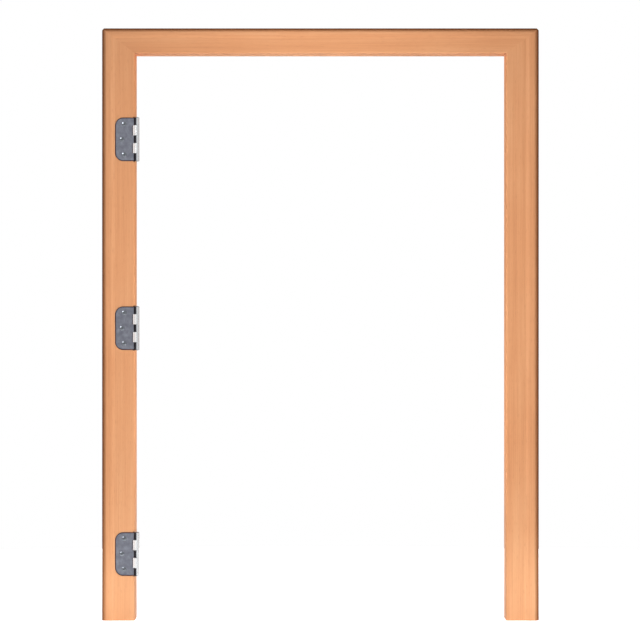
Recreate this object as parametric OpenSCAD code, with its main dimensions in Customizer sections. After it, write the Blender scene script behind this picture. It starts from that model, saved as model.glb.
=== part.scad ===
// Wooden door frame: two jambs and a head rail, mitred and dowelled at the corners,
// with three butt hinges let into the face of the left jamb.
// The front faces -Y, +X is to the right and Z = 0 is the floor, all in millimetres.

/* [Frame] */
// Width over both jambs
frame_w = 900; // [760:5:1300]
// Height from the floor to the top of the head rail
frame_h = 1220; // [1050:10:2400]
// Depth of the timber from the face beside the raised band to the back
frame_depth = 95; // [76:1:160]
// Width of a jamb's face
jamb_face = 67.5; // [60:0.5:100]
// Width of the head rail's face
head_face = 52; // [44:1:90]
// Size of the small flat cut across each outer top corner
corner_clip = 4.5; // [2:0.5:10]

/* [Moulding] */
// Radius of the round along the outer edge, from the side to the raised band
outer_round_r = 11; // [6:0.5:14]
// Width of the raised band along the outer edge of a jamb
band_w = 19.5; // [18:0.5:22]
// Height of the raised band above the rest of the face
band_rise = 1.8; // [0.8:0.1:3]
// Width of the slope from the band down to the rest of the face
slope_w = 7; // [3:0.5:10]
// Radius of the eased edge along the opening
arris_r = 3; // [1:0.5:5]
// Flat taken off the two back edges
back_chamfer = 1.5; // [0.5:0.5:4]

/* [Dowels] */
// Diameter of a corner dowel
dowel_d = 10; // [6:1:12]
// Length of a corner dowel
dowel_len = 40; // [24:1:44]
// Distance between the two dowels of a corner, from front to back
dowel_spacing = 45; // [24:1:48]
// Room left at each end of a dowel in its hole
dowel_end_gap = 1; // [0.5:0.5:2]
// Chamfer round the ends of a dowel
dowel_chamfer = 1; // [0.5:0.5:2]

/* [Hinges] */
// Distance from the underside of the head rail to the top hinge
top_hinge_drop = 132.5; // [60:0.5:200]
// Distance from the floor to the bottom hinge
bottom_hinge_rise = 92.5; // [60:0.5:250]
// How far the middle hinge sits above the halfway point of the other two
middle_hinge_lift = 38; // [0:1:80]
// Height of a hinge leaf
leaf_h = 89; // [76:1:102]
// Width of a hinge leaf, from its edge to the pin's axis
leaf_w = 44.5; // [38:0.5:52]
// Thickness of a hinge leaf
leaf_t = 2.2; // [1.6:0.1:3]
// Radius of a leaf's two outer corners
leaf_corner_r = 16; // [3:0.5:18]
// Distance of the pin's axis from the edge of the jamb, across the opening
axis_out = 4.5; // [3.5:0.5:8]
// Distance of the pin's axis in front of the frame's face
axis_forward = 1; // [0.5:0.1:2]
// Diameter of the hinge pin
pin_d = 5.6; // [4:0.1:7]
// Height of each of the two knuckles on the jamb's leaf
jamb_knuckle_h = 20.6; // [14:0.1:24]
// Gap between neighbouring knuckles
knuckle_gap = 0.25; // [0.2:0.05:0.5]
// Distance from the pin's axis at which a leaf begins to rise to its knuckle
neck_start = 8.3; // [7.8:0.1:10]
// Clearance between a folded leaf's necks and the notches of the other leaf
notch_clearance = 0.3; // [0.2:0.1:1]
// Width of the relief groove at the foot of a knuckle's neck
relief_w = 1.5; // [0.5:0.1:2]
// Depth of the relief groove
relief_depth = 0.5; // [0.2:0.1:0.8]
// Clearance round a leaf in its mortise
mortise_clearance = 0.7; // [0.1:0.1:1]
// Running clearance of the moving leaf on its pin, on the radius
pin_clearance = 0.05; // [0.01:0.01:0.1]
// Radius of the low domed heads of a pin
pin_head_r = 4.4; // [3.8:0.1:4.8]
// Height of the domed heads of a pin
pin_head_h = 0.9; // [0.5:0.1:1.5]
// Gap between a pin's head and the end of the barrel
pin_head_gap = 0.2; // [0.1:0.1:0.5]

/* [Hinge screws] */
// Distance between the upper and the lower screw of a leaf
screw_spacing = 63; // [48:1:64]
// Distance of the upper and lower screws from the leaf's outer edge
outer_screw_inset = 18.3; // [14:0.1:24]
// Distance of the middle screw from the leaf's outer edge
middle_screw_inset = 13.8; // [9:0.1:24]
// Radius of a countersink at the leaf's face
countersink_r = 5.1; // [4.5:0.1:5.6]
// Radius of the plain part of a screw hole
screw_hole_r = 3.4; // [3:0.1:3.8]
// Radius of a screw's shank
shank_r = 2.2; // [1.6:0.1:2.6]
// Length of a screw from the face of the leaf
screw_len = 32; // [20:1:50]
// Length of a screw's point
screw_point = 6; // [3:1:8]
// Depth of the rim of a screw's head below the face of the leaf
screw_sink = 0.2; // [0.1:0.1:0.5]
// Height of the dome of a screw's head above its rim
screw_dome = 1.3; // [0.8:0.1:1.6]
// Radius of the cross recess in a screw's head
recess_r = 2.6; // [2:0.1:3]
// Width of one arm of the cross recess
recess_arm = 1.1; // [0.8:0.1:1.4]
// Depth of the cross recess
recess_depth = 1.8; // [1:0.1:2.2]

/* [Hidden] */

// A cut runs this far past the faces that it opens
overrun = 5;
// Steps of a rounded edge over its quarter turn
round_steps = 16;
// Steps of a domed head between its middle and its rim
dome_steps = 6;
$fn = 48;

pin_r = pin_d / 2;
barrel_r = pin_r + leaf_t;

// The part is centred on its whole depth, which the barrels share
front_y = -(frame_depth - axis_forward - barrel_r) / 2;
left_x = -frame_w / 2;
opening_h = frame_h - head_face;
axis_x = left_x + jamb_face + axis_out;
axis_y = front_y - axis_forward;

bottom_hinge_z = bottom_hinge_rise + leaf_h / 2;
top_hinge_z = opening_h - top_hinge_drop - leaf_h / 2;
middle_hinge_z = (bottom_hinge_z + top_hinge_z) / 2 + middle_hinge_lift;

// The mitre runs from the outer corner to the corner of the opening
mitre_run = [jamb_face, -head_face];
mitre_angle = atan2(head_face, jamb_face);
// A cut along the mitre takes everything up to this far above or below it
waste_reach = 4 * head_face;

// The moving leaf's three knuckles share the height that the fixed leaf's two leave
door_knuckle_h = (leaf_h - 2 * jamb_knuckle_h - 4 * knuckle_gap) / 3;
jamb_knuckle_z = (door_knuckle_h + jamb_knuckle_h) / 2 + knuckle_gap;
door_knuckle_z = leaf_h / 2 - door_knuckle_h / 2;

// A neck rises almost on the tangent to its knuckle and ends a little inside it
neck_crease = 6;
neck_sink = 0.12;
neck_angle = acos(barrel_r / norm([neck_start, axis_forward]))
    - atan2(axis_forward, neck_start) - neck_crease;
neck_tip = (barrel_r - neck_sink) * [cos(neck_angle), sin(neck_angle)];
neck_slope = (axis_forward + neck_tip.y) / (neck_start - neck_tip.x);

// With the leaves folded together, a neck crosses the other leaf's face neck_reach from the axis
neck_reach = neck_start - 2 * axis_forward / neck_slope;
notch_x = max(barrel_r, neck_reach) + notch_clearance;

// A screw's dome is part of a ball
screw_rim_r = countersink_r - screw_sink;
screw_ball_r = (pow(screw_rim_r, 2) + pow(screw_dome, 2)) / (2 * screw_dome);
screw_dome_angle = asin(screw_rim_r / screw_ball_r);
// A pin's head has a straight rim for this share of its height
pin_rim_share = 0.3;

// The screws' cross recesses stop at different turns, top to bottom
recess_turns = [22, 58, -14];
// Radius at the bottom of a cross recess, as a share of its mouth
recess_taper = 0.35;

// Section of a jamb: distance in from the outer edge, depth behind the face
jamb_section = concat(
    [for (i = [0 : round_steps]) let (a = 90 * i / round_steps)
        [outer_round_r * (1 - cos(a)), outer_round_r * (1 - sin(a)) - band_rise]],
    [[band_w, -band_rise], [band_w + slope_w, 0]],
    [for (i = [0 : round_steps]) let (a = 90 * i / round_steps)
        [jamb_face - arris_r * (1 - sin(a)), arris_r * (1 - cos(a))]],
    [
        [jamb_face, frame_depth - back_chamfer],
        [jamb_face - back_chamfer, frame_depth],
        [back_chamfer, frame_depth],
        [0, frame_depth - back_chamfer]
    ]
);

// The head rail's section is the jamb's, narrowed so that the lines meet on the mitre
head_scale = head_face / jamb_face;
head_section = [for (p = jamb_section) [p[1], -p[0] * head_scale]];

// Turns an outline drawn in X and Z into a cut right through the frame's depth
module through_depth() {
    translate([0, front_y + frame_depth + overrun, 0])
        rotate([90, 0, 0])
            linear_extrude(frame_depth + 2 * overrun) children();
}

// The stock on one side of the left mitre: side 1 is above it and -1 is below it
module mitre_waste(side) {
    outer = [left_x, frame_h];
    far = [0, side * waste_reach];
    through_depth()
        polygon([outer - mitre_run, outer + 2 * mitre_run, outer + 2 * mitre_run + far, outer - mitre_run + far]);
}

// The small corner taken off the top left of the frame, on a line that cuts
// corner_clip off each of the two outer edges
module corner_waste() {
    through_depth()
        translate([left_x, frame_h])
            polygon([[-corner_clip, -2 * corner_clip], [2 * corner_clip, corner_clip], [-corner_clip, corner_clip]]);
}

// Puts a child on the axes of the two dowels of the left mitre
module at_left_dowels() {
    for (side = [-1, 1])
        translate([left_x + jamb_face / 2, front_y + frame_depth / 2 + side * dowel_spacing / 2,
            frame_h - head_face / 2])
            rotate([0, mitre_angle, 0]) children();
}

module dowel() {
    rotate_extrude()
        polygon([
            [0, -dowel_len / 2], [dowel_d / 2 - dowel_chamfer, -dowel_len / 2],
            [dowel_d / 2, -dowel_len / 2 + dowel_chamfer], [dowel_d / 2, dowel_len / 2 - dowel_chamfer],
            [dowel_d / 2 - dowel_chamfer, dowel_len / 2], [0, dowel_len / 2]
        ]);
}

module left_dowel_holes() {
    at_left_dowels() cylinder(h = dowel_len + 2 * dowel_end_gap, r = dowel_d / 2, center = true);
}

module left_jamb_blank() {
    difference() {
        translate([left_x, front_y, 0]) linear_extrude(frame_h) polygon(jamb_section);
        mitre_waste(1);
        corner_waste();
        left_dowel_holes();
    }
}

// Puts a child at one hinge, with its origin on the pin's axis at half height
module at_hinge(z) {
    translate([axis_x, axis_y, z]) children();
}

// Outline of a leaf's plate, in X and Z, from its outer edge to the line to_x
module leaf_outline(margin, to_x) {
    r = leaf_corner_r + margin;
    half_h = leaf_h / 2 + margin;
    edge = -leaf_w - margin;
    for (side = [-1, 1]) translate([edge + r, side * (half_h - r)]) circle(r = r);
    translate([edge, -half_h + r]) square([r, 2 * (half_h - r)]);
    translate([edge + r, -half_h]) square([to_x - edge - r, 2 * half_h]);
}

// Stands an outline drawn in X and Z up as a slab that runs back from the leaf's face
module slab_behind_face(from, to) {
    translate([0, axis_forward + to, 0]) rotate([90, 0, 0]) linear_extrude(to - from) children();
}

// Puts a child on each screw's axis, which runs into the timber from the face of the leaf
module at_screws() {
    for (i = [-1 : 1])
        translate([-leaf_w + (i == 0 ? middle_screw_inset : outer_screw_inset), axis_forward, -i * screw_spacing / 2])
            rotate([-90, 0, 0]) rotate([0, 0, recess_turns[i + 1]]) children();
}

module screw_body() {
    dome = [for (i = [0 : dome_steps]) let (a = screw_dome_angle * i / dome_steps)
        [screw_ball_r * sin(a), screw_sink - screw_dome + screw_ball_r * (1 - cos(a))]];
    rotate_extrude()
        polygon(concat(dome, [
            [shank_r, countersink_r - shank_r], [shank_r, screw_len - screw_point], [0, screw_len]
        ]));
}

module countersunk_hole() {
    rotate_extrude()
        polygon([
            [0, -1], [countersink_r + 1, -1], [screw_hole_r, countersink_r - screw_hole_r],
            [screw_hole_r, leaf_t + 1], [0, leaf_t + 1]
        ]);
}

module hinge_screw() {
    difference() {
        screw_body();
        intersection() {
            for (turn = [0, 90]) rotate([0, 0, turn])
                cube([4 * recess_r, recess_arm, 4 * recess_depth], center = true);
            translate([0, 0, screw_sink - screw_dome - 1])
                cylinder(h = recess_depth + 1, r1 = recess_r, r2 = recess_r * recess_taper);
        }
    }
}

// One leaf, its plate towards -X, with knuckles of height knuckle_h centred on each of heights
module leaf(knuckle_h, heights, bore_r) {
    back_y = axis_forward + leaf_t;
    difference() {
        union() {
            slab_behind_face(0, leaf_t) leaf_outline(0, -notch_x);
            for (z = heights) translate([0, 0, z - knuckle_h / 2]) linear_extrude(knuckle_h) {
                circle(r = barrel_r);
                polygon([[-neck_start, axis_forward], -neck_tip, [0, 0], [0, back_y], [-neck_start, back_y]]);
            }
        }
        for (z = heights) {
            translate([0, 0, z]) cylinder(h = knuckle_h + 2 * overrun, r = bore_r, center = true);
            translate([-neck_start - relief_w, axis_forward - 1, z - knuckle_h / 2])
                cube([relief_w, relief_depth + 1, knuckle_h]);
        }
        at_screws() countersunk_hole();
    }
}

module jamb_leaf() {
    color("slategray") leaf(jamb_knuckle_h, [-jamb_knuckle_z, jamb_knuckle_z], pin_r);
}

// The moving leaf, turned to point back along the edge of the opening
module door_leaf() {
    color("lightslategray") rotate([0, 0, 90]) mirror([1, 0, 0])
        leaf(door_knuckle_h, [-door_knuckle_z, 0, door_knuckle_z], pin_r + pin_clearance);
}

module hinge_pin() {
    end_z = leaf_h / 2 + pin_head_gap;
    dome = [for (i = [0 : dome_steps]) let (a = 90 * i / dome_steps)
        [pin_head_r * cos(a), end_z + pin_head_h * (pin_rim_share + (1 - pin_rim_share) * sin(a))]];
    half = concat([[pin_r, end_z], [pin_head_r, end_z]], dome);
    color("silver") rotate_extrude()
        polygon(concat(half, [for (i = [len(half) - 1 : -1 : 0]) [half[i][0], -half[i][1]]]));
}

module hinge_screws() {
    color("gainsboro") at_screws() hinge_screw();
}

module hinge_jamb() {
    color("burlywood") difference() {
        left_jamb_blank();
        for (z = [bottom_hinge_z, middle_hinge_z, top_hinge_z]) at_hinge(z) {
            slab_behind_face(-overrun, leaf_t) leaf_outline(mortise_clearance, overrun);
            at_screws() screw_body();
        }
    }
}

module strike_jamb() {
    color("burlywood") mirror([1, 0, 0]) left_jamb_blank();
}

module head_rail() {
    color("tan") difference() {
        translate([left_x, front_y, frame_h]) rotate([90, 0, 90]) linear_extrude(frame_w) polygon(head_section);
        for (side = [0, 1]) mirror([side, 0, 0]) {
            mitre_waste(-1);
            corner_waste();
            left_dowel_holes();
        }
    }
}

module left_corner_dowels() {
    color("wheat") at_left_dowels() dowel();
}

module right_corner_dowels() {
    color("wheat") mirror([1, 0, 0]) at_left_dowels() dowel();
}

hinge_jamb();
strike_jamb();
head_rail();
left_corner_dowels();
right_corner_dowels();
at_hinge(top_hinge_z) jamb_leaf();  // top_jamb_leaf
at_hinge(top_hinge_z) door_leaf();  // top_door_leaf
at_hinge(top_hinge_z) hinge_pin();  // top_hinge_pin
at_hinge(top_hinge_z) hinge_screws();  // top_hinge_screws
at_hinge(middle_hinge_z) jamb_leaf();  // middle_jamb_leaf
at_hinge(middle_hinge_z) door_leaf();  // middle_door_leaf
at_hinge(middle_hinge_z) hinge_pin();  // middle_hinge_pin
at_hinge(middle_hinge_z) hinge_screws();  // middle_hinge_screws
at_hinge(bottom_hinge_z) jamb_leaf();  // bottom_jamb_leaf
at_hinge(bottom_hinge_z) door_leaf();  // bottom_door_leaf
at_hinge(bottom_hinge_z) hinge_pin();  // bottom_hinge_pin
at_hinge(bottom_hinge_z) hinge_screws();  // bottom_hinge_screws
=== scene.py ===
import math

import bpy
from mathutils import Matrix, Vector


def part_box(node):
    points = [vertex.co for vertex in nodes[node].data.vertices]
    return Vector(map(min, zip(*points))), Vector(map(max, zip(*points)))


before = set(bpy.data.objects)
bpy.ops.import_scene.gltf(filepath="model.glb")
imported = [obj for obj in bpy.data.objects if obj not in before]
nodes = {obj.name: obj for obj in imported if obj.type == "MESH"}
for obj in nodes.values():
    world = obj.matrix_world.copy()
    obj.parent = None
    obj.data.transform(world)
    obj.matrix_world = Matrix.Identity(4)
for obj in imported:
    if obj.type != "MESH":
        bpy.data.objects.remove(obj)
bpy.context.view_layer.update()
millimetre = 0.001
hingeNames = ["top", "middle", "bottom"]
print("frame loaded:", len(nodes), "nodes")

# Places that the looks are hung on: the pins' axis, and the face that timber and leaves share
axisForward = 1.0        # mm, how far the axis stands in front of that face
pinLow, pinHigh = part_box("top_hinge_pin")
pinAxis = (pinLow + pinHigh) / 2
faceY = pinAxis.y + axisForward * millimetre


# Helpers for colours, nodes and materials

def linearColour(hexCode):  # sRGB hex to the linear colour that a socket takes
    parts = [int(hexCode[i:i + 2], 16) / 255 for i in (0, 2, 4)]
    straight = [c / 12.92 if c <= 0.04045 else ((c + 0.055) / 1.055) ** 2.4 for c in parts]
    return (*straight, 1.0)


def addNode(tree, kind, settings=None, inputs=None):
    # One node with its settings, and each input given a value or linked to another node
    node = tree.nodes.new(kind)
    for name, value in (settings or {}).items():
        setattr(node, name, value)
    for name, source in (inputs or {}).items():
        if isinstance(source, bpy.types.NodeSocket):
            tree.links.new(source, node.inputs[name])
        else:
            node.inputs[name].default_value = source
    return node


def setRamp(node, stops):  # stops are (place, colour) pairs
    ramp = node.color_ramp
    while len(ramp.elements) < len(stops):
        ramp.elements.new(0.5)
    for element, (place, colour) in zip(ramp.elements, stops):
        element.position = place
        element.color = colour


def streaks(tree, place, grainAxis, layer, shift=0.0):
    # Noise drawn out along the grain: a layer's width across it and its length along it, in mm
    scale = [1 / (layer["width"] * millimetre)] * 3
    scale[grainAxis] = 1 / (layer["length"] * millimetre)
    stretched = addNode(tree, "ShaderNodeMapping",
                        inputs={"Vector": place, "Scale": scale, "Location": [shift + layer["offset"]] * 3})
    noise = addNode(tree, "ShaderNodeTexNoise",
                    inputs={"Vector": stretched.outputs[0], "Scale": 1.0,
                            "Detail": layer["detail"], "Roughness": layer["roughness"]})
    return noise.outputs[0]


def newMaterial(name):
    material = bpy.data.materials.new(name)
    material.use_nodes = True
    material.node_tree.nodes.clear()
    return material


def dress(name, material):
    piece = nodes[name]
    piece.data.materials.clear()
    piece.data.materials.append(material)


# Lacquered pine: planed softwood under a thin satin lacquer, so a warm even tan with fine
# straight streaks of very low contrast. Painted shade darkens the round along the outer edge,
# and painted shade blackens the timber behind the barrels
pineLook = {
    "pale": "EAAC7E", "middle": "E3A071", "dark": "D99466",
    "darkAt": 0.36, "middleAt": 0.50, "paleAt": 0.64,
    # Widths and lengths of the layers are in mm, and pores are drawn coarser than real ones
    "fine": {"width": 1.6, "length": 190, "detail": 4.0, "roughness": 0.6, "offset": 0.0, "share": 0.42},
    "bands": {"width": 14, "length": 900, "detail": 2.0, "roughness": 0.5, "offset": 3.1, "share": 0.30},
    "clouds": {"width": 120, "length": 216, "detail": 3.0, "roughness": 0.5, "offset": 7.7, "share": 0.28},
    "pores": {"width": 0.9, "length": 14, "detail": 1.0, "roughness": 0.4, "offset": 5.3},
    "poreBrown": "BE7A50", "poreDepth": 0.35, "poresFrom": 0.60, "poresTo": 0.78,
    "endGrain": "EDB88F", "endRing": "D7976B",
    "ringWidth": 2.4, "ringDetail": 2.0,                   # mm
    "endFrom": 0.45, "endTo": 0.65,                        # how far a face points along the grain
    # Painted shade: a darker colour multiplied onto the round along the outer edge, near the front
    "paintedEdgeShade": "A68661",
    "edgeShadeStart": 9.5, "edgeShadeEnd": 1.5,                    # mm in from the outer edge
    "edgeShadeDepth": 8.0, "edgeShadeFade": 6.0,                   # mm behind the face
    # Painted shade: a near-black colour on the timber behind the barrels
    "paintedNotchShade": "43352D", "notchShadeReach": 7.6, "notchShadeFade": 0.5,    # mm from the pin's axis
    "roughness": 0.48, "roughnessOfStreaks": 0.14,
    "specular": 0.22, "coat": 0.02, "coatRoughness": 0.4, "ior": 1.45,
    "reliefDepth": 0.035, "reliefStrength": 0.5,           # mm
}


def lacqueredPine(name, grainAxis, shift, notchShadedHinges=()):
    look = pineLook
    material = newMaterial("lacqueredPine" + name.title().replace("_", ""))
    tree = material.node_tree
    place = addNode(tree, "ShaderNodeTexCoord").outputs["Object"]
    facing = addNode(tree, "ShaderNodeTexCoord").outputs["Normal"]
    spot = addNode(tree, "ShaderNodeSeparateXYZ", inputs={"Vector": place}).outputs

    # The tone: fine streaks, broad bands and slow clouds, added up
    fine = streaks(tree, place, grainAxis, look["fine"], shift)
    bands = streaks(tree, place, grainAxis, look["bands"], shift)
    clouds = streaks(tree, place, grainAxis, look["clouds"], shift)
    total = 0.0
    for pattern, layer in ((fine, "fine"), (bands, "bands"), (clouds, "clouds")):
        total = addNode(tree, "ShaderNodeMath", {"operation": "MULTIPLY_ADD"},
                        {0: pattern, 1: look[layer]["share"], 2: total}).outputs[0]
    tone = addNode(tree, "ShaderNodeValToRGB", inputs={"Fac": total})
    setRamp(tone, [(look["darkAt"], linearColour(look["dark"])),
                   (look["middleAt"], linearColour(look["middle"])),
                   (look["paleAt"], linearColour(look["pale"]))])

    # Short dark pores
    pores = streaks(tree, place, grainAxis, look["pores"], shift)
    poreMask = addNode(tree, "ShaderNodeMapRange",
                       inputs={"Value": pores, "From Min": look["poresFrom"], "From Max": look["poresTo"],
                               "To Max": look["poreDepth"]})
    colour = addNode(tree, "ShaderNodeMix", {"data_type": "RGBA"},
                     {0: poreMask.outputs[0], 6: tone.outputs[0],
                      7: linearColour(look["poreBrown"])}).outputs[2]

    # End grain where a cut runs across the fibres: paler, with growth rings close together
    rings = addNode(tree, "ShaderNodeTexNoise",
                    inputs={"Vector": place, "Scale": 1 / (look["ringWidth"] * millimetre),
                            "Detail": look["ringDetail"]})
    ringTone = addNode(tree, "ShaderNodeMix", {"data_type": "RGBA"},
                       {0: rings.outputs[0], 6: linearColour(look["endRing"]),
                        7: linearColour(look["endGrain"])})
    sides = addNode(tree, "ShaderNodeSeparateXYZ", inputs={"Vector": facing}).outputs
    across = addNode(tree, "ShaderNodeMath", {"operation": "ABSOLUTE"}, {0: sides[grainAxis]})
    endMask = addNode(tree, "ShaderNodeMapRange",
                      inputs={"Value": across.outputs[0],
                              "From Min": look["endFrom"], "From Max": look["endTo"]})
    colour = addNode(tree, "ShaderNodeMix", {"data_type": "RGBA"},
                     {0: endMask.outputs[0], 6: colour, 7: ringTone.outputs[2]}).outputs[2]

    # Painted shade in the round along the outer edge, on the front only
    low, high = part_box(name)
    outerAxis = 0 if grainAxis == 2 else 2
    outerEdge = max(abs(low[outerAxis]), abs(high[outerAxis]))
    outward = addNode(tree, "ShaderNodeMath", {"operation": "ABSOLUTE"}, {0: spot[outerAxis]})
    nearEdge = addNode(tree, "ShaderNodeMapRange",
                       inputs={"Value": outward.outputs[0],
                               "From Min": outerEdge - look["edgeShadeStart"] * millimetre,
                               "From Max": outerEdge - look["edgeShadeEnd"] * millimetre})
    nearFront = addNode(tree, "ShaderNodeMapRange",
                        inputs={"Value": spot["Y"],
                                "From Min": faceY + (look["edgeShadeDepth"] + look["edgeShadeFade"]) * millimetre,
                                "From Max": faceY + look["edgeShadeDepth"] * millimetre})
    paintedEdgeShadeMask = addNode(tree, "ShaderNodeMath", {"operation": "MULTIPLY"},
                      {0: nearEdge.outputs[0], 1: nearFront.outputs[0]})
    colour = addNode(tree, "ShaderNodeMix", {"data_type": "RGBA", "blend_type": "MULTIPLY"},
                     {0: paintedEdgeShadeMask.outputs[0], 6: colour, 7: linearColour(look["paintedEdgeShade"])}).outputs[2]

    # Painted shade behind the barrels: in a square column round the pin's axis, as high as the hinge
    for hinge in notchShadedHinges:
        low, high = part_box(hinge + "_jamb_leaf")
        squash = 2 * look["notchShadeReach"] * millimetre / (high.z - low.z)
        local = addNode(tree, "ShaderNodeVectorMath", {"operation": "SUBTRACT"},
                        {0: place, 1: (pinAxis.x, pinAxis.y, (low.z + high.z) / 2)})
        squashed = addNode(tree, "ShaderNodeVectorMath", {"operation": "MULTIPLY"},
                           {0: local.outputs[0], 1: (1, 1, squash)})
        folded = addNode(tree, "ShaderNodeVectorMath", {"operation": "ABSOLUTE"}, {0: squashed.outputs[0]})
        away = addNode(tree, "ShaderNodeSeparateXYZ", inputs={"Vector": folded.outputs[0]}).outputs
        inPlan = addNode(tree, "ShaderNodeMath", {"operation": "MAXIMUM"}, {0: away["X"], 1: away["Y"]})
        furthest = addNode(tree, "ShaderNodeMath", {"operation": "MAXIMUM"},
                           {0: inPlan.outputs[0], 1: away["Z"]})
        notchShadeMask = addNode(tree, "ShaderNodeMapRange",
                      inputs={"Value": furthest.outputs[0],
                              "From Min": (look["notchShadeReach"] + look["notchShadeFade"]) * millimetre,
                              "From Max": look["notchShadeReach"] * millimetre})
        colour = addNode(tree, "ShaderNodeMix", {"data_type": "RGBA"},
                         {0: notchShadeMask.outputs[0], 6: colour, 7: linearColour(look["paintedNotchShade"])}).outputs[2]

    rough = addNode(tree, "ShaderNodeMapRange",
                    inputs={"Value": fine, "To Min": look["roughness"],
                            "To Max": look["roughness"] + look["roughnessOfStreaks"]})
    relief = addNode(tree, "ShaderNodeBump",
                     inputs={"Height": fine, "Strength": look["reliefStrength"],
                             "Distance": look["reliefDepth"] * millimetre})
    shader = addNode(tree, "ShaderNodeBsdfPrincipled",
                     inputs={"Base Color": colour, "Roughness": rough.outputs[0],
                             "Normal": relief.outputs[0],
                             "IOR": look["ior"], "Specular IOR Level": look["specular"],
                             "Coat Weight": look["coat"], "Coat Roughness": look["coatRoughness"]})
    addNode(tree, "ShaderNodeOutputMaterial", inputs={"Surface": shader.outputs[0]})
    return material


dress("hinge_jamb", lacqueredPine("hinge_jamb", 2, 0.0, hingeNames))
dress("strike_jamb", lacqueredPine("strike_jamb", 2, 21.0))
dress("head_rail", lacqueredPine("head_rail", 0, 43.0))


# Beech dowel: bare turned hardwood, pinkish with short dark flecks
beechLook = {
    "pale": "D9B58C", "dark": "C79B6E", "darkAt": 0.4, "paleAt": 0.6,
    "flecks": {"width": 0.6, "length": 4, "detail": 3.0, "roughness": 0.55, "offset": 0.0},    # mm
    "roughness": 0.6,
}


def beechDowel():
    look = beechLook
    material = newMaterial("beechDowel")
    tree = material.node_tree
    place = addNode(tree, "ShaderNodeTexCoord").outputs["Object"]
    flecks = streaks(tree, place, 2, look["flecks"])
    tone = addNode(tree, "ShaderNodeValToRGB", inputs={"Fac": flecks})
    setRamp(tone, [(look["darkAt"], linearColour(look["dark"])),
                   (look["paleAt"], linearColour(look["pale"]))])
    shader = addNode(tree, "ShaderNodeBsdfPrincipled",
                     inputs={"Base Color": tone.outputs[0], "Roughness": look["roughness"]})
    addNode(tree, "ShaderNodeOutputMaterial", inputs={"Surface": shader.outputs[0]})
    return material


beech = beechDowel()
for side in ("left", "right"):
    dress(side + "_corner_dowels", beech)


# Zinc plated steel: pressed leaves with a dull blue-grey passivated skin that is cloudy and
# finely scratched, with painted shade round the rim and in every hollow, and a painted highlight on the
# barrel
zincLook = {
    "plateDark": "6A6C77", "plateMiddle": "777983", "platePale": "878A93",
    "darkAt": 0.36, "middleAt": 0.50, "paleAt": 0.66,
    "cloudSize": 9, "cloudDetail": 4.0, "cloudShare": 0.65,    # mm
    "scratches": {"width": 0.25, "length": 12, "detail": 2.0, "roughness": 0.5, "offset": 0.0},    # mm
    "scratchShare": 0.35,
    # Painted shade colour for the leaf's rim and its hollows
    "paintedRimAndHollowShade": "3A3640",
    "cornerRadius": 16, "rimStart": 1.9, "rimEnd": 1.0,    # mm, the last two in from the outline
    "hollowStart": 0.1, "hollowEnd": 0.35,                 # mm behind the leaf's face
    # Painted highlight on the necks and the barrel, and painted shade on a free barrel's jamb side
    "paintedNeckHighlight": "F4F4F4", "paintedBarrelHighlight": "D0D2D4", "paintedBarrelShade": "38373C",
    "highlightReach": 8.0, "highlightFade": 0.6,                 # mm from the pin's axis
    "barrelEdge": 1.0, "barrelFade": 0.8,                  # mm left of the pin's axis
    "roughness": 0.40, "highlightRoughness": 0.24,
    "reliefDepth": 0.01, "reliefStrength": 0.4,            # mm
}


def paintedRimShade(tree, place, leaf):
    # The mask of a painted shade line: 1 at the outline of a fixed leaf and 0 further in, worked out from
    # its rounded rectangle in X and Z, which is taken to run on past the barrel so that no rim shows there
    look = zincLook
    low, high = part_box(leaf)
    corner = look["cornerRadius"] * millimetre
    half = Vector((high.x - low.x, 0, (high.z - low.z) / 2))
    flat = addNode(tree, "ShaderNodeVectorMath", {"operation": "MULTIPLY"}, {0: place, 1: (1, 0, 1)})
    local = addNode(tree, "ShaderNodeVectorMath", {"operation": "SUBTRACT"},
                    {0: flat.outputs[0], 1: (high.x, 0, (low.z + high.z) / 2)})
    folded = addNode(tree, "ShaderNodeVectorMath", {"operation": "ABSOLUTE"}, {0: local.outputs[0]})
    past = addNode(tree, "ShaderNodeVectorMath", {"operation": "SUBTRACT"},
                   {0: folded.outputs[0], 1: half - Vector((corner, 0, corner))})
    outside = addNode(tree, "ShaderNodeVectorMath", {"operation": "MAXIMUM"},
                      {0: past.outputs[0], 1: (0, 0, 0)})
    reach = addNode(tree, "ShaderNodeVectorMath", {"operation": "LENGTH"}, {0: outside.outputs[0]})
    rim = addNode(tree, "ShaderNodeMapRange",
                  inputs={"Value": reach.outputs["Value"],
                          "From Min": corner - look["rimStart"] * millimetre,
                          "From Max": corner - look["rimEnd"] * millimetre})
    return rim.outputs[0]


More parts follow.
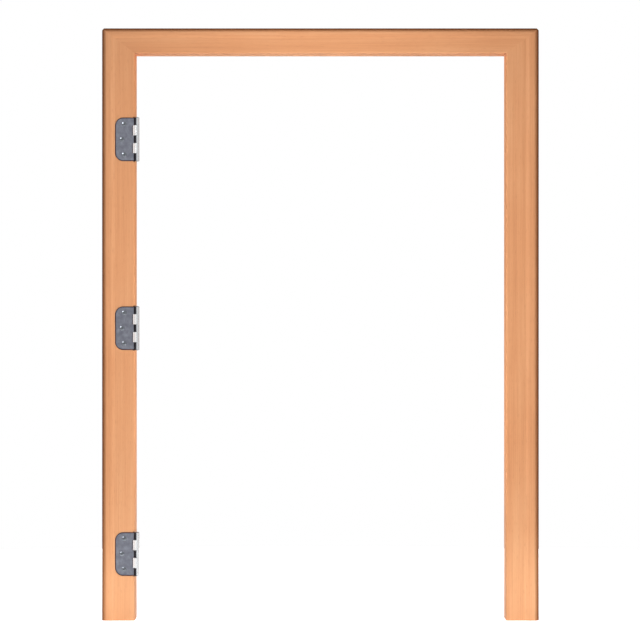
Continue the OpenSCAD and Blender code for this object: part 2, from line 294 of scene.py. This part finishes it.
def zincPlate(leaf, fixed):
    look = zincLook
    material = newMaterial("zincPlatedSteel" + leaf.title().replace("_", ""))
    tree = material.node_tree
    place = addNode(tree, "ShaderNodeTexCoord").outputs["Object"]
    spot = addNode(tree, "ShaderNodeSeparateXYZ", inputs={"Vector": place}).outputs

    # The plate: clouds and scratches
    clouds = addNode(tree, "ShaderNodeTexNoise",
                     inputs={"Vector": place, "Scale": 1 / (look["cloudSize"] * millimetre),
                             "Detail": look["cloudDetail"]})
    scratches = streaks(tree, place, 2, look["scratches"])
    total = 0.0
    for pattern, share in ((clouds.outputs[0], "cloudShare"), (scratches, "scratchShare")):
        total = addNode(tree, "ShaderNodeMath", {"operation": "MULTIPLY_ADD"},
                        {0: pattern, 1: look[share], 2: total}).outputs[0]
    tone = addNode(tree, "ShaderNodeValToRGB", inputs={"Fac": total})
    setRamp(tone, [(look["darkAt"], linearColour(look["plateDark"])),
                   (look["middleAt"], linearColour(look["plateMiddle"])),
                   (look["paleAt"], linearColour(look["platePale"]))])
    plate = tone.outputs[0]

    # Painted highlight: close to the pin's axis in plan the metal is painted bright. A fixed leaf's necks
    # are painted whitest, and a free leaf's barrel is painted dark as shade on the side that faces the jamb
    edge = pinAxis.x - look["barrelEdge"] * millimetre
    jambSide = addNode(tree, "ShaderNodeMapRange",
                       inputs={"Value": spot["X"], "From Min": edge + look["barrelFade"] * millimetre,
                               "From Max": edge})
    barrelHighlightAndShade = addNode(tree, "ShaderNodeMix", {"data_type": "RGBA"},
                   {0: jambSide.outputs[0], 6: linearColour(look["paintedBarrelHighlight"]),
                    7: linearColour(look["paintedNeckHighlight" if fixed else "paintedBarrelShade"])})
    local = addNode(tree, "ShaderNodeVectorMath", {"operation": "SUBTRACT"},
                    {0: place, 1: (pinAxis.x, pinAxis.y, 0)})
    inPlan = addNode(tree, "ShaderNodeVectorMath", {"operation": "MULTIPLY"},
                     {0: local.outputs[0], 1: (1, 1, 0)})
    reach = addNode(tree, "ShaderNodeVectorMath", {"operation": "LENGTH"}, {0: inPlan.outputs[0]})
    paintedHighlightMask = addNode(tree, "ShaderNodeMapRange",
                     inputs={"Value": reach.outputs["Value"],
                             "From Min": (look["highlightReach"] + look["highlightFade"]) * millimetre,
                             "From Max": look["highlightReach"] * millimetre}).outputs[0]

    # A fixed leaf has painted shade in what is sunk behind its face, and its painted highlight only where it
    # stands proud
    if fixed:
        hollowShade = addNode(tree, "ShaderNodeMapRange",
                         inputs={"Value": spot["Y"], "From Min": faceY + look["hollowStart"] * millimetre,
                                 "From Max": faceY + look["hollowEnd"] * millimetre})
        paintedRimAndHollowShade = addNode(tree, "ShaderNodeMath", {"operation": "MAXIMUM"},
                       {0: hollowShade.outputs[0], 1: paintedRimShade(tree, place, leaf)})
        plate = addNode(tree, "ShaderNodeMix", {"data_type": "RGBA"},
                        {0: paintedRimAndHollowShade.outputs[0], 6: plate, 7: linearColour(look["paintedRimAndHollowShade"])}).outputs[2]
        proud = addNode(tree, "ShaderNodeMapRange",
                        inputs={"Value": spot["Y"], "From Min": faceY - look["hollowStart"] * millimetre,
                                "From Max": faceY - look["hollowEnd"] * millimetre})
        paintedHighlightMask = addNode(tree, "ShaderNodeMath", {"operation": "MULTIPLY"},
                         {0: paintedHighlightMask, 1: proud.outputs[0]}).outputs[0]

    colour = addNode(tree, "ShaderNodeMix", {"data_type": "RGBA"}, {0: paintedHighlightMask, 6: plate, 7: barrelHighlightAndShade.outputs[2]})
    rough = addNode(tree, "ShaderNodeMapRange",
                    inputs={"Value": paintedHighlightMask, "To Min": look["roughness"], "To Max": look["highlightRoughness"]})
    relief = addNode(tree, "ShaderNodeBump",
                     inputs={"Height": scratches, "Strength": look["reliefStrength"],
                             "Distance": look["reliefDepth"] * millimetre})
    shader = addNode(tree, "ShaderNodeBsdfPrincipled",
                     inputs={"Base Color": colour.outputs[2], "Roughness": rough.outputs[0],
                             "Normal": relief.outputs[0], "Metallic": 1.0})
    addNode(tree, "ShaderNodeOutputMaterial", inputs={"Surface": shader.outputs[0]})
    return material


for hinge in hingeNames:
    dress(hinge + "_jamb_leaf", zincPlate(hinge + "_jamb_leaf", True))
    dress(hinge + "_door_leaf", zincPlate(hinge + "_door_leaf", False))


# Screw steel: turned screws and pins, smoother and a little darker than the leaves, faintly mottled
screwLook = {
    "pale": "7C8086", "dark": "6A6E74", "darkAt": 0.35, "paleAt": 0.65,
    "mottleSize": 0.5, "mottleDetail": 2.0,                # mm
    "roughness": 0.2,
}


def screwSteel():
    look = screwLook
    material = newMaterial("screwSteel")
    tree = material.node_tree
    place = addNode(tree, "ShaderNodeTexCoord").outputs["Object"]
    mottle = addNode(tree, "ShaderNodeTexNoise",
                     inputs={"Vector": place, "Scale": 1 / (look["mottleSize"] * millimetre),
                             "Detail": look["mottleDetail"]})
    tone = addNode(tree, "ShaderNodeValToRGB", inputs={"Fac": mottle.outputs[0]})
    setRamp(tone, [(look["darkAt"], linearColour(look["dark"])),
                   (look["paleAt"], linearColour(look["pale"]))])
    shader = addNode(tree, "ShaderNodeBsdfPrincipled",
                     inputs={"Base Color": tone.outputs[0], "Roughness": look["roughness"],
                             "Metallic": 1.0})
    addNode(tree, "ShaderNodeOutputMaterial", inputs={"Surface": shader.outputs[0]})
    return material


steel = screwSteel()
for hinge in hingeNames:
    dress(hinge + "_hinge_pin", steel)
    dress(hinge + "_hinge_screws", steel)
print("materials on:", len(bpy.data.materials))


# Stage: a round white floor in a white room, and a dark card behind the frame that only gloss sees
stageLook = {
    "floorRadius": 2.6, "floorCorners": 96,       # m
    "paperDark": "E4E4E4", "paperPale": "FFFFFF", "fibreSize": 3,    # mm
    "liftNear": 0.80, "liftFar": 1.0,             # glow that the camera sees, by the feet and further out
    "nearReach": 0.75, "farReach": 1.5,           # m from the middle of the frame
    "ambient": 0.05, "front": 0.9, "sides": 1.0, "back": 0.03,
    "sidesFrom": 0.70, "sidesTo": 0.92,           # share of a direction that points to the side
    "frontFrom": 0.1, "frontTo": 0.4,             # share of a direction that points to the front
}


def whitePaper():
    look = stageLook
    material = newMaterial("whitePaper")
    tree = material.node_tree
    place = addNode(tree, "ShaderNodeTexCoord").outputs["Object"]
    fibres = addNode(tree, "ShaderNodeTexNoise",
                     inputs={"Vector": place, "Scale": 1 / (look["fibreSize"] * millimetre)})
    tone = addNode(tree, "ShaderNodeMix", {"data_type": "RGBA"},
                   {0: fibres.outputs[0], 6: linearColour(look["paperDark"]),
                    7: linearColour(look["paperPale"])})
    paper = addNode(tree, "ShaderNodeBsdfDiffuse", inputs={"Color": tone.outputs[2]})

    # The glow, which only the camera, gloss and glass see, rises with the distance from the frame
    path = addNode(tree, "ShaderNodeLightPath").outputs
    through = addNode(tree, "ShaderNodeMath", {"operation": "MAXIMUM"},
                      {0: path["Is Glossy Ray"], 1: path["Is Transmission Ray"]})
    seen = addNode(tree, "ShaderNodeMath", {"operation": "MAXIMUM"},
                   {0: path["Is Camera Ray"], 1: through.outputs[0]})
    reach = addNode(tree, "ShaderNodeVectorMath", {"operation": "LENGTH"}, {0: place})
    lift = addNode(tree, "ShaderNodeMapRange",
                   inputs={"Value": reach.outputs["Value"],
                           "From Min": look["nearReach"], "From Max": look["farReach"],
                           "To Min": look["liftNear"], "To Max": look["liftFar"]})
    strength = addNode(tree, "ShaderNodeMath", {"operation": "MULTIPLY"},
                       {0: seen.outputs[0], 1: lift.outputs[0]})
    glow = addNode(tree, "ShaderNodeEmission", inputs={"Strength": strength.outputs[0]})
    both = addNode(tree, "ShaderNodeAddShader", inputs={0: paper.outputs[0], 1: glow.outputs[0]})
    addNode(tree, "ShaderNodeOutputMaterial", inputs={"Surface": both.outputs[0]})
    return material


bpy.ops.mesh.primitive_circle_add(vertices=stageLook["floorCorners"], radius=stageLook["floorRadius"],
                                  fill_type="NGON")
floor = bpy.context.object
floor.name = "floor"
floor.data.materials.append(whitePaper())


def whiteRoom():
    look = stageLook
    world = bpy.data.worlds.new("whiteRoom")
    world.use_nodes = True
    tree = world.node_tree
    tree.nodes.clear()
    around = addNode(tree, "ShaderNodeTexCoord").outputs["Generated"]
    heading = addNode(tree, "ShaderNodeSeparateXYZ", inputs={"Vector": around}).outputs

    # What gloss shows: the room at the sides and in front, and the card behind
    sideways = addNode(tree, "ShaderNodeMath", {"operation": "ABSOLUTE"}, {0: heading["X"]})
    towardSide = addNode(tree, "ShaderNodeMapRange",
                         inputs={"Value": sideways.outputs[0],
                                 "From Min": look["sidesFrom"], "From Max": look["sidesTo"],
                                 "To Min": look["back"], "To Max": look["sides"]})
    towardFront = addNode(tree, "ShaderNodeMapRange",
                          inputs={"Value": heading["Y"],
                                  "From Min": -look["frontFrom"], "From Max": -look["frontTo"],
                                  "To Min": look["back"], "To Max": look["front"]})
    reflected = addNode(tree, "ShaderNodeMath", {"operation": "MAXIMUM"},
                        {0: towardSide.outputs[0], 1: towardFront.outputs[0]})

    path = addNode(tree, "ShaderNodeLightPath").outputs
    felt = addNode(tree, "ShaderNodeMix", {"data_type": "FLOAT"},
                   {0: path["Is Glossy Ray"], 2: look["ambient"], 3: reflected.outputs[0]})
    seen = addNode(tree, "ShaderNodeMath", {"operation": "MAXIMUM"},
                   {0: path["Is Camera Ray"], 1: path["Is Transmission Ray"]})
    strength = addNode(tree, "ShaderNodeMath", {"operation": "MAXIMUM"},
                       {0: felt.outputs[0], 1: seen.outputs[0]})
    light = addNode(tree, "ShaderNodeBackground",
                    inputs={"Color": (1, 1, 1, 1), "Strength": strength.outputs[0]})
    addNode(tree, "ShaderNodeOutputWorld", inputs={"Surface": light.outputs[0]})
    return world


bpy.context.scene.world = whiteRoom()


# Lamps: a tall soft panel in front of the doorway does most of the work. A fill stands behind
# the camera, a light above, faint strips inside the doorway, cards by the head and the feet,
# and two lamps behind at the sides. The glint is a softbox that only gloss shows
lamps = {
    "panel": {"at": (0, -1.0, 0.62), "aim": (0, faceY, 0.62), "size": (0.2, 1.55), "power": 12.0},
    "fill": {"at": (0, -9.6, 1.2), "aim": (0, faceY, 0.6), "size": (4.0, 3.0), "power": 50},
    "leftStrip": {"at": (0, 0.02, 0.6), "aim": (-1, 0.0, 0.6), "size": (0.1, 1.1), "power": 0.24},
    "rightStrip": {"at": (0, 0.02, 0.6), "aim": (1, 0.0, 0.6), "size": (0.1, 1.1), "power": 0.24},
    "headStrip": {"at": (0, 0.02, 0.2), "aim": (0, 0.02, 1.2), "size": (0.3, 0.1), "power": 0.8},
    "topLight": {"at": (0, -1.6, 3.6), "aim": (0, -0.5, 0), "size": (2.4, 1.6), "power": 11.5},
    "headCard": {"at": (0, -0.5, 1.195), "aim": (0, faceY, 1.195), "size": (0.8, 0.1), "power": 0.18},
    "leftCard": {"at": (-0.5, -0.2, 0.02), "aim": (-0.45, faceY, 0.03), "size": (0.4, 0.04), "power": 0.26,
                 "colour": "E2F6FF"},
    "rightCard": {"at": (0.5, -0.2, 0.02), "aim": (0.45, faceY, 0.03), "size": (0.4, 0.04), "power": 0.26,
                  "colour": "E2F6FF"},
    "glint": {"at": (-1.9, -1.9, 2.2), "aim": (-0.4, faceY, 0.6), "size": (1.3, 1.3), "power": 40,
              "onlyGloss": True},
    "backLeft": {"at": (-2.2, 3.0, 1.5), "aim": (-0.2, 0, 0.6), "size": (1.2, 1.6), "power": 70},
    "backRight": {"at": (2.2, 3.0, 1.5), "aim": (0.2, 0, 0.6), "size": (1.2, 1.6), "power": 70},
}
for name, lamp in lamps.items():
    light = bpy.data.lights.new(name, "AREA")
    light.shape = "RECTANGLE"
    light.size, light.size_y = lamp["size"]
    light.energy = lamp["power"]
    light.color = linearColour(lamp.get("colour", "FFFFFF"))[:3]
    holder = bpy.data.objects.new(name, light)
    bpy.context.scene.collection.objects.link(holder)
    holder.location = lamp["at"]
    holder.rotation_euler = (Vector(lamp["aim"]) - Vector(lamp["at"])).to_track_quat("-Z", "Y").to_euler()
    holder.visible_camera = False
    holder.visible_glossy = lamp.get("onlyGloss", False)
    holder.visible_diffuse = not lamp.get("onlyGloss", False)
print("stage and lamps set")


# Camera: square to the face and level, a little above half height
cameraSetup = {
    "distance": 8.2, "sideways": -0.0009, "height": 0.6189,    # m, the first from the timber's face
    "lens": 224.0, "sensor": 36.0,                             # mm
    "sightEnd": 100,                                           # m
}
lens = bpy.data.cameras.new("camera")
lens.lens = cameraSetup["lens"]
lens.sensor_width = cameraSetup["sensor"]
lens.clip_end = cameraSetup["sightEnd"]
camera = bpy.data.objects.new("camera", lens)
bpy.context.scene.collection.objects.link(camera)
camera.location = (cameraSetup["sideways"], faceY - cameraSetup["distance"], cameraSetup["height"])
camera.rotation_euler = (math.radians(90), 0, 0)
bpy.context.scene.camera = camera
bpy.context.scene.view_settings.view_transform = "Standard"
print("camera set")
